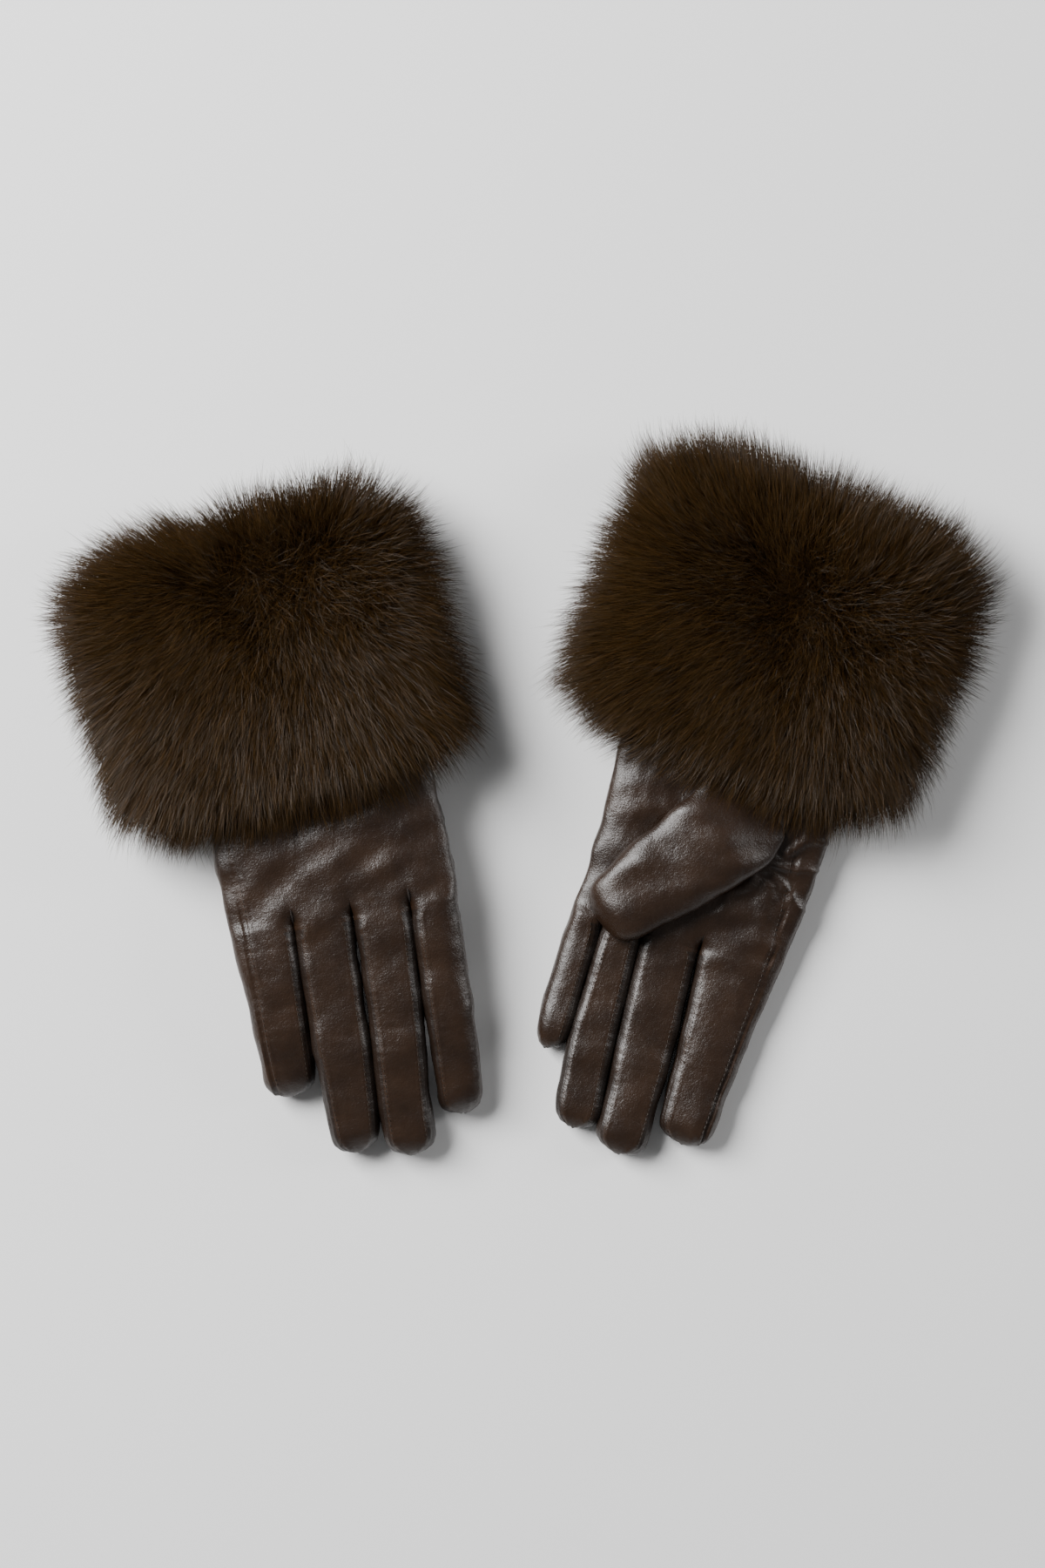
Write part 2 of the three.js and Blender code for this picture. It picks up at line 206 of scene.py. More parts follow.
# ---------------------------------------------------------------- meshes
def make_object(name, points, faces, materials, face_material=None, normals=None, attributes=None):
    """An object from points in metres and a list of (n, corners) face arrays."""
    mesh = bpy.data.meshes.new(name)
    mesh.vertices.add(len(points))
    mesh.vertices.foreach_set("co", np.asarray(points, np.float32).ravel())
    corners = np.concatenate([f.ravel() for f in faces]).astype(np.int32)
    sizes = np.concatenate([np.full(len(f), f.shape[1]) for f in faces])
    mesh.loops.add(len(corners))
    mesh.loops.foreach_set("vertex_index", corners)
    mesh.polygons.add(len(sizes))
    mesh.polygons.foreach_set("loop_start", (np.cumsum(sizes) - sizes).astype(np.int32))
    for material in materials:
        mesh.materials.append(material)
    if face_material is not None:
        mesh.polygons.foreach_set("material_index", np.asarray(face_material, np.int32))
    mesh.polygons.foreach_set("use_smooth", np.ones(len(sizes), bool))
    mesh.update(calc_edges=True)
    for key, values in (attributes or {}).items():
        kind, field = ("FLOAT_VECTOR", "vector") if np.ndim(values) == 2 else ("FLOAT", "value")
        layer = mesh.attributes.new(key, kind, "POINT")
        layer.data.foreach_set(field, np.asarray(values, np.float32).ravel())
    mesh.validate()
    if normals is not None:
        mesh.normals_split_custom_set_from_vertices(np.asarray(normals, float))
    made = bpy.data.objects.new(name, mesh)
    bpy.context.scene.collection.objects.link(made)
    return made


def grid_faces(index, flip=False):
    """Quads over a (rows, columns) array of vertex numbers."""
    a, b, c, d = index[:-1, :-1], index[1:, :-1], index[1:, 1:], index[:-1, 1:]
    quads = np.stack([a, d, c, b] if flip else [a, b, c, d], axis=-1)
    return quads.reshape(-1, 4)


def vertex_normals(points, quads):
    """Each vertex's normal, from the quads round it."""
    cross = np.cross(points[quads[:, 2]] - points[quads[:, 0]], points[quads[:, 3]] - points[quads[:, 1]])
    normals = np.zeros_like(points)
    for corner in range(4):
        np.add.at(normals, quads[:, corner], cross)
    return normals / np.maximum(np.linalg.norm(normals, axis=1), 1e-12)[:, None]


def split_triangles(quads):
    """The whole quads, triangles for those with two corners alike, and which quads are whole."""
    triangles = []
    whole = np.ones(len(quads), bool)
    for corner in range(4):
        after = (corner + 1) % 4
        pinched = whole & (quads[:, corner] == quads[:, after])
        whole &= ~pinched
        triangles.append(np.delete(quads[pinched], after, axis=1))
    triangles = np.concatenate(triangles)
    a, b, c = triangles.T
    return quads[whole], triangles[(a != b) & (b != c) & (a != c)], whole


def own_faces(quads):
    """The vertices that quads use, their faces renumbered to those, and which quads are whole."""
    quads, triangles, whole = split_triangles(quads)
    used, numbers = np.unique(np.concatenate([quads.ravel(), triangles.ravel()]), return_inverse=True)
    numbers = numbers.ravel()
    return used, [numbers[: quads.size].reshape(-1, 4), numbers[quads.size :].reshape(-1, 3)], whole


# ---------------------------------------------------------------- materials
def new_material(name):
    """A material, with its node tree and its shader."""
    material = bpy.data.materials.new(name)
    material.use_nodes = True
    return material, material.node_tree, material.node_tree.nodes["Principled BSDF"]


def set_node(tree, node, **values):
    """Sets a node's properties and sockets by name. A value that is a socket is linked."""
    for key, value in values.items():
        socket = key.replace("_", " ")
        if isinstance(value, bpy.types.NodeSocket):
            tree.links.new(value, node.inputs[socket])
        elif hasattr(node, key):
            setattr(node, key, value)
        else:
            node.inputs[socket].default_value = value
    return node


def add_node(tree, kind, **values):
    return set_node(tree, tree.nodes.new("ShaderNode" + kind), **values)


def rest_coordinates(tree):
    """Where each point lies at rest in glove space, in mm, so that patterns move with the piece."""
    return add_node(tree, "Attribute", attribute_name="rest").outputs["Vector"]


def colour_ramp(tree, value, *stops):
    """A colour from a value, between two (position, colour) stops."""
    ramp = add_node(tree, "ValToRGB", Fac=value)
    for element, (position, colour) in zip(ramp.color_ramp.elements, stops):
        element.position = position
        element.color = (*colour, 1)
    return ramp.outputs["Color"]


def leather_material(name, dark, light, roughness):
    """Fine-grained satin leather: cell grain, creases, cloudy colour, and a painted highlight that makes the welt
    ridges paler.
    """
    material, tree, shader = new_material(name)
    rest = rest_coordinates(tree)
    cloud = add_node(tree, "TexNoise", Vector=rest, Scale=0.06, Detail=5, Roughness=0.6)
    warp = add_node(tree, "TexNoise", Vector=rest, Scale=1.1, Detail=3)
    crease = add_node(tree, "TexNoise", Vector=rest, Scale=0.42, Detail=6, Roughness=0.68, Distortion=0.8)
    moved = add_node(tree, "VectorMath", operation="ADD")
    tree.links.new(rest, moved.inputs[0])
    tree.links.new(warp.outputs["Color"], moved.inputs[1])
    grain = add_node(tree, "TexVoronoi", feature="DISTANCE_TO_EDGE", Scale=0.95, Randomness=0.95)
    tree.links.new(moved.outputs[0], grain.inputs["Vector"])
    base = colour_ramp(tree, cloud.outputs["Fac"], (0.32, dark), (0.7, light))
    # Painted highlight: along the welt ridges the leather is mixed towards a paler brown.
    welt_highlight = add_node(tree, "Attribute", attribute_name="welt_highlight").outputs["Fac"]
    highlight_colour = (*[min(1, 1.9 * c) for c in light], 1)
    with_highlight = add_node(tree, "Mix", data_type="RGBA", Factor=welt_highlight, A=base, B=highlight_colour)
    height = crease.outputs["Fac"]
    rough = add_node(tree, "MapRange", Value=height, To_Min=roughness - 0.05, To_Max=roughness + 0.1)
    broad = add_node(tree, "Bump", Strength=0.4, Distance=0.00045, Height=height).outputs["Normal"]
    fine = add_node(tree, "Bump", Strength=0.7, Distance=0.00014, Height=grain.outputs["Distance"], Normal=broad)
    set_node(tree, shader, Base_Color=with_highlight.outputs["Result"], Roughness=rough.outputs["Result"])
    set_node(tree, shader, Normal=fine.outputs["Normal"], Specular_IOR_Level=0.5)
    return material


def thread_material():
    """Twisted sewing thread, a little paler than the leather."""
    material, tree, shader = new_material("thread")
    twist = add_node(tree, "TexNoise", Vector=rest_coordinates(tree), Scale=3.0, Detail=2).outputs["Fac"]
    colour = colour_ramp(tree, twist, (0.3, (0.018, 0.0115, 0.0075)), (0.7, (0.045, 0.032, 0.024)))
    set_node(tree, shader, Base_Color=colour, Roughness=0.55)
    return material


def cloth_material(name, dark, light, scale, roughness):
    """A close knit or satin: fine ribs that run along the hand."""
    material, tree, shader = new_material(name)
    rest = rest_coordinates(tree)
    ribs = add_node(tree, "TexWave", bands_direction="X", Vector=rest, Scale=scale, Distortion=1.2, Detail=2)
    fuzz = add_node(tree, "TexNoise", Vector=rest, Scale=2.5, Detail=4)
    both = add_node(tree, "Math", operation="MULTIPLY")
    tree.links.new(ribs.outputs["Fac"], both.inputs[0])
    tree.links.new(fuzz.outputs["Fac"], both.inputs[1])
    colour = colour_ramp(tree, both.outputs[0], (0.1, dark), (0.6, light))
    bump = add_node(tree, "Bump", Strength=0.5, Distance=0.0003, Height=both.outputs[0]).outputs["Normal"]
    set_node(tree, shader, Base_Color=colour, Normal=bump, Roughness=roughness, Specular_IOR_Level=0.3)
    return material


def plain_material(name, colour, roughness, specular):
    """One colour, for the zones of a single hair and for the floor."""
    material, tree, shader = new_material(name)
    set_node(tree, shader, Base_Color=(*colour, 1), Roughness=roughness, Specular_IOR_Level=specular)
    return material


LEATHER = leather_material("leather", (0.0125, 0.0057, 0.0027), (0.0245, 0.0119, 0.0058), 0.33)
# The fourchettes take the same leather at about half the brightness: painted shade for the strips sunk between the
# fingers.
FOURCHETTE_SHADED = leather_material("leather_fourchette_painted_shade", (0.007, 0.0032, 0.0015), (0.014, 0.0068, 0.0034), 0.4)
THREAD = thread_material()
LINING = cloth_material("lining_knit", (0.012, 0.009, 0.008), (0.04, 0.03, 0.026), 1.6, 0.9)
FACING = cloth_material("facing_satin", (0.012, 0.006, 0.003), (0.03, 0.016, 0.009), 2.4, 0.6)
UNDERCOAT = cloth_material("undercoat", (0.003, 0.002, 0.001), (0.012, 0.007, 0.004), 0.5, 1.0)

FUR_TINTS = [(0.75, 0.78, 0.72), (1.0, 1.0, 1.0), (1.5, 1.42, 1.4)]
FUR_ZONES = [
    ("root", (0.014, 0.006, 0.0009)),
    ("middle", (0.0235, 0.0107, 0.0017)),
    ("tip", (0.037, 0.0187, 0.004)),
]
FUR = [
    plain_material(f"fur_{zone}_{number}", [c * t for c, t in zip(colour, tint)], 0.45, 0.16)
    for number, tint in enumerate(FUR_TINTS)
    for zone, colour in FUR_ZONES
]


# ---------------------------------------------------------------- the shape of a hand
ARC = 30  # columns across one finger
ANGLES = np.linspace(np.pi, 0, ARC + 1)
ACROSS = np.sign(np.cos(ANGLES)) * np.abs(np.cos(ANGLES)) ** 0.8
ROW = 0.7  # mm between rows
SEAM_IN = 3.6  # a fourchette seam lies this far inside the finger's edge
STITCH_IN = SEAM_IN + 1.0  # and its stitches this far
FINGER_OVERLAP = 1.3  # neighbouring fingers press together by this much
FINGERTIP, THUMB_TIP = 10.5, 11.0  # lengths over which the ends round off
TIP_STEPS = 13  # rows round a tip
LINING_IN = 1.3  # from the outer skin of the leather to the lining


def dome(v, power):
    return np.clip(1 - np.abs(v) ** power, 0, 1) ** (1 / power)


def columns_between(left, right, full=1):
    """x over (rows, columns) from left to right edges, drawn in to a share, full, of their width."""
    return ((left + right) / 2)[:, None] + (((right - left) / 2) * full)[:, None] * ACROSS[None, :]


def crowned(name, sign):
    """A finger's crown above (1) or below (-1) its middle: squarer on the sides that face another finger."""
    k = FINGERS.index(name)
    outer = 2.5 if sign > 0 else 3.4
    sides = np.where(ACROSS < 0, outer if k == 0 else 3.1, outer if k == 3 else 3.1)
    return dome(ACROSS, sides)


class Hand:
    """The smooth outer skin of one glove, before wrinkles and seams."""

    def __init__(self, glove):
        self.glove = glove
        self.left, self.right = curve(glove["left_edge"]), curve(glove["right_edge"])
        self.low, self.high = curve(glove["low"]), curve(glove["high"])
        inner = [self.station(a, 0)[1] for a in FINGERS[:-1]]
        outer = [self.station(b, 0)[0] for b in FINGERS[1:]]
        between = [(a + b) / 2 for a, b in zip(inner, outer)]
        self.crotches = [float(self.left(0)), *between, float(self.right(0))]

    def station(self, name, y):
        """Left and right edges of a finger at y, from its stations."""
        stations = sorted(self.glove["fingers"][name][1])
        ys = [s[0] for s in stations]
        centre = np.interp(y, ys, [s[1] for s in stations])
        width = np.interp(y, ys, [s[2] for s in stations])
        return centre - width / 2, centre + width / 2

    def finger_edges(self, name, y):
        k = FINGERS.index(name)
        left, right = self.station(name, y)
        away = ease(-y, 0, 5)
        left = self.left(y) if k == 0 else mix(self.crotches[k], left - FINGER_OVERLAP, away)
        right = self.right(y) if k == 3 else mix(self.crotches[k + 1], right + FINGER_OVERLAP, away)
        return left, right

    def joint(self, name):
        return (self.glove["knuckle"] + self.glove["fingers"][name][0]) / 2

    def middle_and_half(self, name, y):
        """Mid height and half height of a finger at y."""
        tip = self.glove["fingers"][name][0]
        joint_floor, tip_floor = self.glove["floor"]
        own_low = curve([*self.glove["low"], (self.joint(name), joint_floor), (tip, tip_floor)])(y)
        own_high = own_low + self.glove["finger_height"]
        away = ease(-y, 0, 7)
        low, high = mix(self.low(y), own_low, away), mix(self.high(y), own_high, away)
        return (low + high) / 2, (high - low) / 2

    def finger_rows(self, name):
        """Row heights along a finger, with how full its width and height are in each."""
        tip = self.glove["fingers"][name][0]
        straight = np.arange(0, -(tip + FINGERTIP), ROW)
        bend = np.linspace(0, np.pi / 2, TIP_STEPS)
        ys = np.concatenate([-straight, tip + FINGERTIP * (1 - np.sin(bend))])
        s = np.concatenate([np.zeros(len(straight)), np.sin(bend)])
        return ys, np.clip(1 - s**2.8, 0, 1) ** (1 / 2.2), np.clip(1 - s**2.2, 0, 1) ** (1 / 2)

    def finger(self, name):
        ys, wide, tall = self.finger_rows(name)
        left, right = self.finger_edges(name, ys)
        middle, half = self.middle_and_half(name, ys)
        x = columns_between(left, right, wide)
        y = np.repeat(ys[:, None], ARC + 1, axis=1)
        lean = (half * (1 - tall) * 0.25)[:, None]
        top = middle[:, None] - lean + (half * tall)[:, None] * crowned(name, 1)[None, :]
        bottom = middle[:, None] - lean - (half * tall)[:, None] * crowned(name, -1)[None, :]
        return np.stack([x, y, top], -1), np.stack([x, y, bottom], -1)

    def palm_arch(self, x, y):
        """Share of the hand's half height at (x, y), as one smooth arch."""
        left, right = self.left(y), self.right(y)
        return dome((2 * x - left - right) / (right - left), 3.0)

    def palm(self):
        ys = np.arange(0, self.glove["wrist"][1] + 6, ROW)
        left, right = self.left(ys), self.right(ys)
        full = self.crotches[-1] - self.crotches[0]
        shares = [(c - self.crotches[0]) / full for c in self.crotches]
        half, middle = (self.high(ys) - self.low(ys)) / 2, (self.high(ys) + self.low(ys)) / 2
        valley = np.exp(-((ys / 3.2) ** 2))[:, None]
        gather = (0.1 * np.exp(-ys / 9))[:, None] * np.exp(-(((1 - np.abs(ACROSS)) / 0.3) ** 2))[None, :]
        sheets = []
        for k in range(4):
            a, b = left + shares[k] * (right - left), left + shares[k + 1] * (right - left)
            x = columns_between(a, b)
            y = np.repeat(ys[:, None], ARC + 1, axis=1)
            arch = self.palm_arch(x, y)
            made = []
            for sign in (1, -1):
                shape = mix(arch, crowned(FINGERS[k], sign)[None, :], valley) - gather * arch
                made.append(np.stack([x, y, middle[:, None] + sign * half[:, None] * shape], -1))
            sheets.append(made)
        return [np.concatenate([s[f][:, : ARC + (k == 3)] for k, s in enumerate(sheets)], 1) for f in (0, 1)]

    def thumb(self):
        """The thumb folded against the palm: its outer side, then the side that touches the palm."""
        thumb, side = self.glove["thumb"], self.glove["palm"]
        stations = thumb["stations"]
        start, tip = stations[0][0], thumb["tip"]
        straight = np.arange(0, start - tip - THUMB_TIP, ROW)
        bend = np.linspace(0, np.pi / 2, TIP_STEPS)
        ys = np.concatenate([start - straight, tip + THUMB_TIP * (1 - np.sin(bend))])
        s = np.concatenate([np.zeros(len(straight)), np.sin(bend)])
        wide, tall = np.clip(1 - s**3.6, 0, 1) ** (1 / 2.2), np.clip(1 - s**2.6, 0, 1) ** (1 / 2)
        left, right = (curve([(p[0], p[k]) for p in stations], 3)(ys) for k in (1, 2))
        height = thumb["height"] * mix(0.15, 1.0, ease(-ys, -start + 6, 14)) * tall
        x = columns_between(left, right, wide)
        flat = thumb_to_glove(self.glove, np.stack([x, np.repeat(ys[:, None], ARC + 1, 1), x * 0], -1))
        face = self.high if side > 0 else self.low
        middle = (self.high(flat[..., 1]) + self.low(flat[..., 1])) / 2
        surface = middle + (face(flat[..., 1]) - middle) * self.palm_arch(flat[..., 0], flat[..., 1])
        outer, inner = flat.copy(), flat.copy()
        core = thumb["gap"] + 0.4 * height[:, None]
        outer[..., 2] = surface + side * (core + 0.6 * height[:, None] * dome(ACROSS, 2.6)[None, :])
        inner[..., 2] = surface + side * (core - 0.4 * height[:, None] * dome(ACROSS, 5)[None, :])
        return ys, outer, inner


# ---------------------------------------------------------------- the leather skin
class Skin:
    """The whole leather surface of one glove as one welded net, and how it splits into pieces."""

    def __init__(self, glove):
        self.glove = glove
        self.hand = Hand(glove)
        self.sheets = {}
        points, quads = [], []
        self.add_sheet(points, quads, "palm", "top", self.hand.palm()[0][::-1], False)
        self.add_sheet(points, quads, "palm", "bottom", self.hand.palm()[1][::-1], True)
        for name in FINGERS:
            top, bottom = self.hand.finger(name)
            self.add_sheet(points, quads, name, "top", top, False)
            self.add_sheet(points, quads, name, "bottom", bottom, True)
        self.thumb_ys, outer, inner = self.hand.thumb()
        below = glove["palm"] < 0
        self.add_sheet(points, quads, "thumb", "outer", outer, below)
        self.add_sheet(points, quads, "thumb", "inner", inner, not below)
        self.weld(np.concatenate(points), np.concatenate(quads))
        self.wrinkle()

    def add_sheet(self, points, quads, part, face, sheet, flip):
        start = sum(len(p) for p in points)
        index = start + np.arange(sheet.shape[0] * sheet.shape[1]).reshape(sheet.shape[:2])
        self.sheets[part, face] = index
        points.append(sheet.reshape(-1, 3))
        quads.append(grid_faces(index, flip))

    def weld(self, points, quads):
        thumb = np.zeros(len(points))
        for (part, _), index in self.sheets.items():
            if part == "thumb":
                thumb[index.ravel()] = 1000
        keys = np.round(np.column_stack([points, thumb]) / 0.002).astype(np.int64)
        _, first, where = np.unique(keys, axis=0, return_index=True, return_inverse=True)
        where = where.ravel()
        self.points, self.quads = points[first], where[quads]
        self.sheets = {key: where[index] for key, index in self.sheets.items()}
        self.on_thumb = thumb[first] > 0

    def wrinkle(self):
        rest = self.points.copy()
        normals = vertex_normals(self.points, self.quads)
        push = 0.5 * ripple(rest, 26, 1) + 0.2 * ripple(rest, 11, 2) + 0.05 * ripple(rest, 4.2, 3)
        seams, self.welt_highlight = self.seam_relief(rest)
        push += seams + self.folds(rest, normals)
        self.points = rest + normals * push[:, None]
        self.points[:, 2] = np.maximum(self.points[:, 2], 0.1)
        self.rest = rest
        self.normals = vertex_normals(self.points, self.quads)

    def seam_relief(self, rest):
        """Height added by seams: fourchettes sunk beside the fingers, puckered welts, and the side seams."""
        relief, welt_highlight = np.zeros(len(rest)), np.zeros(len(rest))
        for k, name in enumerate(FINGERS):
            for end in [side for side, outer in ((0, k == 0), (-1, k == 3)) if not outer]:
                layer = np.zeros(len(rest))
                for face in ("top", "bottom"):
                    index = self.sheets[name, face]
                    p = rest[index]
                    away = np.abs(p[..., 0] - p[:, end, 0][:, None])
                    self.sew_profile(layer, welt_highlight, index, away - SEAM_IN, p[..., 1], 1.15)
                relief += layer
        for face, points in self.glove["seams"].items():
            line = curve(points, 3)
            layer = np.zeros(len(rest))
            for part in ("palm", *FINGERS):
                index = self.sheets[part, face]
                p = rest[index]
                self.sew_profile(layer, welt_highlight, index, p[..., 0] - line(p[..., 1]), p[..., 1], 0)
            relief += layer
        return relief, welt_highlight

    def sew_profile(self, layer, welt_highlight, index, d, along, sink):
        """One sewn line, d mm away: a groove between two puckered welts, and a strip sunk beyond it."""
        pucker = np.sin(2 * np.pi * along / 3.1 + 1.4 * np.sin(along / 5))
        ridge = np.exp(-(((np.abs(d) - 0.9) / 0.5) ** 2))
        shape = -0.5 * np.exp(-((d / 0.5) ** 2)) + 0.28 * (1 + 0.15 * pucker) * ridge
        shape += 0.012 * pucker * np.exp(-np.abs(d) / 2.2)
        if sink:
            inwards = np.clip(-d, 0, SEAM_IN)
            shape -= sink * (0.6 * ease(inwards, 0.2, 1.2) + 0.4 * inwards / SEAM_IN)
            shape *= ease(-along, 0, 4)
        else:
            shape = 1.4 * shape - 0.3 * np.exp(-((d / 0.8) ** 2))
        reach = np.abs(d) < 8
        layer[index[reach]] = shape[reach]
        # Marks the welt ridges for the leather's painted highlight.
        np.maximum.at(welt_highlight, index[reach], 0.15 * ridge[reach])

    def folds(self, rest, normals):
        """Height added by creases at the finger joints, gathers at the wrist, and folds across the hand."""
        x, y = rest[:, 0], rest[:, 1]
        wrist = self.glove["wrist"][1]
        push = self.finger_creases(rest)
        gather = ease(y, wrist - 24, wrist - 4)
        push += 0.3 * gather * np.sin(2 * np.pi * x / 6.5 + 1.6 * ripple(rest, 20, 6))
        slanting = np.column_stack([0.45 * x + 0.3 * y, 1.1 * y - 0.35 * x, 0 * x])
        push += 0.34 * ripple(slanting, 11, 7) * ease(y, -10, 12)
        palm = (normals[:, 2] * self.glove["palm"] > 0) & ~self.on_thumb
        return push + palm * self.thumb_folds(rest)

    def finger_creases(self, rest):
        """Creases across each finger's joints, and the tucks sewn into its tip."""
        x, y = rest[:, 0], rest[:, 1]
        push = np.zeros(len(rest))
        wander = ripple(rest, 16, 5)
        for name in FINGERS:
            left, right = self.hand.finger_edges(name, y)
            near = ease(x, left - 1, left + 2) * ease(-x, -right - 1, -right + 2) * ease(-y, 3, 6)
            centre = (x - (left + right) / 2) / 12
            joint, tip = self.hand.joint(name), self.glove["fingers"][name][0]
            for middle, strength in ((joint, 0.13), (joint + 22, 0.06)):
                for offset in (-4.5, -0.5, 4):
                    d = y - middle - offset - 1.8 * wander - 1.5 * centre**2
                    push -= strength * near * (0.5 + 0.5 * wander) * np.exp(-((d / 1.1) ** 2))
                push += 0.5 * strength * near * np.exp(-(((y - middle) / 7) ** 2))
            tuck = np.exp(-(((y - tip - 2.5) / 2.6) ** 2))
            push += 0.13 * near * tuck * np.sin(2 * np.pi * x / 3.4 + 2 * wander)
        return push

    def thumb_folds(self, rest):
        """Folds that radiate from the thumb's crotch."""
        cx, cy = self.thumb_crotch()
        r, angle = np.hypot(rest[:, 0] - cx, rest[:, 1] - cy), np.arctan2(rest[:, 1] - cy, rest[:, 0] - cx)
        rays = 1 - 2 * np.abs(np.sin(4.5 * angle + 0.9 * ripple(rest, 14, 8))) ** 0.8
        return 1.45 * rays * np.exp(-r / 19) * ease(r, 1.5, 6)

    def thumb_crotch(self):
        """Where the lower edge of the thumb leaves the palm."""
        right = [(p[0], p[2]) for p in self.glove["thumb"]["stations"]]
        y, x = max(right, key=lambda p: p[1])
        return thumb_to_glove(self.glove, np.array([[x, y, 0.0]]))[0][:2]

    # -- pieces
    def rows(self, part, face, first, last):
        """The part of a sheet whose rows lie between two y values (thumb rows: in thumb space)."""
        index = self.sheets[part, face]
        if part == "thumb":
            ys = self.thumb_ys
        else:
            ys = self.rest[index[:, ARC // 2], 1]
        inside = np.nonzero((ys <= first + 1e-6) & (ys >= last - 1e-6))[0]
        return index[inside[0] : inside[-1] + 1]

    def piece(self, name, parts, first, last, stitches=()):
        """One leather object: the rows of the sheets from y = first down to last, with its stitches."""
        quads, kinds = [], []
        for part, face, flip in parts:
            index = self.rows(part, face, first, last)
            made = grid_faces(index, flip)
            quads.append(made)
            kinds.append(self.fourchette_shade_mask(part, index))
        quads, kinds = np.concatenate(quads), np.concatenate(kinds)
        used, faces, whole = own_faces(quads)
        points, normals = self.points[used], self.normals[used]
        rest, welt_highlight = self.rest[used], self.welt_highlight[used]
        kinds = kinds[whole]
        sewn = stitch_mesh([s for s in stitches if last - 0.01 <= s[3] <= first + 0.01])
        if sewn:
            more, more_normals, more_faces = sewn
            faces = [np.concatenate([faces[0], more_faces + len(points)]), faces[1]]
            kinds = np.concatenate([kinds, np.full(len(more_faces), 2)])
            points, normals = np.concatenate([points, more]), np.concatenate([normals, more_normals])
            rest, welt_highlight = np.concatenate([rest, more]), np.concatenate([welt_highlight, np.zeros(len(more))])
        return make_object(
            name,
            place_points(self.glove, points),
            faces,
            [LEATHER, FOURCHETTE_SHADED, THREAD],
            np.concatenate([kinds, np.zeros(len(faces[1]), int)]),
            turn(normals, self.glove["tilt"]),
            {"rest": rest, "welt_highlight": welt_highlight},
        )

    def fourchette_shade_mask(self, part, index):
        """1 for the faces that belong to the strips between the fingers, which take the darker leather of painted
        shade.
        """
        rows, columns = index.shape[0] - 1, index.shape[1] - 1
        mask = np.zeros((rows, columns), int)
        if part in FINGERS:
            p = self.rest[index]
            x = (p[:-1, :-1, 0] + p[1:, 1:, 0]) / 2
            y = (p[:-1, :-1, 1] + p[1:, 1:, 1]) / 2
            k = FINGERS.index(part)
            if k > 0:
                mask |= ((x - p[:-1, 0, 0][:, None]) < SEAM_IN) & (y < -1.5)
            if k < 3:
                mask |= ((p[:-1, -1, 0][:, None] - x) < SEAM_IN) & (y < -1.5)
        return mask.ravel()

    def on_sheet(self, part, face, x, y):
        """Point and normal on the finished skin at (x, y) in glove space."""
        index = self.sheets[part, face]
        ys = self.rest[index[:, ARC // 2], 1]
        row = np.interp(-y, -ys, np.arange(len(ys)))
        i = int(min(row, len(ys) - 2))
        xs = self.rest[index[i], 0]
        column = np.interp(x, xs, np.arange(len(xs)))
        j = int(min(column, len(xs) - 2))
        u, v = row - i, column - j
        weights = np.array([[(1 - u) * (1 - v), (1 - u) * v], [u * (1 - v), u * v]])[..., None]
        corner = index[i : i + 2, j : j + 2]
        return (self.points[corner] * weights).sum((0, 1)), (self.normals[corner] * weights).sum((0, 1))


# ---------------------------------------------------------------- stitches
STITCH_PITCH = 1.8
STITCH_LENGTH = 1.2
STITCH_RADIUS = 0.13


def stitch_mesh(stitches):
    """Little spindles of thread. A stitch is (point, direction, normal, y)."""
    if not stitches:
        return None
    centre = np.array([s[0] for s in stitches])
    along = np.array([s[1] for s in stitches])
    up = np.array([s[2] for s in stitches])
    across = np.cross(along, up)
    across /= np.linalg.norm(across, axis=1)[:, None]
    up = np.cross(across, along)
    sides = 6
    rings = [(-0.5, 0.35, -0.12), (-0.3, 0.9, 0.02), (0, 1, 0.06), (0.3, 0.9, 0.02), (0.5, 0.35, -0.12)]
    points, normals = [], []
    for share, fat, lift in rings:
        for k in range(sides):
            a = 2 * np.pi * k / sides
            out = math.cos(a) * across + math.sin(a) * up
            points.append(centre + along * share * STITCH_LENGTH + out * fat * STITCH_RADIUS + up * lift)
            normals.append(out)
    points, normals = np.stack(points, 1), np.stack(normals, 1)
    index = np.arange(len(rings) * sides).reshape(len(rings), sides)
    index = np.concatenate([index, index[:, :1]], 1)
    quads = grid_faces(index)
    offsets = np.arange(len(stitches))[:, None, None] * len(rings) * sides
    return points.reshape(-1, 3), normals.reshape(-1, 3), (quads[None] + offsets).reshape(-1, 4)


def sew(skin, part, face, line, first, last, seed):
    """Stitches along x = line(y) on one sheet, from y = first down to y = last."""
    rng = np.random.default_rng(seed)
    made = []
    for y in np.arange(first, last, -STITCH_PITCH):
        x = float(line(y))
        a, _ = skin.on_sheet(part, face, float(line(y + 0.5)), y + 0.5)
        b, _ = skin.on_sheet(part, face, float(line(y - 0.5)), y - 0.5)
        point, normal = skin.on_sheet(part, face, x, y)
        along = b - a
        length = np.linalg.norm(along)
        if length < 0.2:
            continue
        normal = normal / np.linalg.norm(normal)
        sideways = np.cross(along / length, normal)
        direction = along / length + 0.1 * rng.normal() * sideways
        made.append((point + 0.06 * normal, direction / np.linalg.norm(direction), normal, y))
    return made


def finger_stitches(skin, name):
    tip = skin.glove["fingers"][name][0]
    k = FINGERS.index(name)
    made = []
    for number, face in enumerate(("top", "bottom")):
        for side in (0, 1):
            if (k == 0 and side == 0) or (k == 3 and side == 1):
                continue

            def line(y, side=side):
                left, right = skin.hand.finger_edges(name, y)
                return left + STITCH_IN if side == 0 else right - STITCH_IN

            made += sew(skin, name, face, line, -2.0, tip + 5, 10 * k + 2 * number + side)
    return made


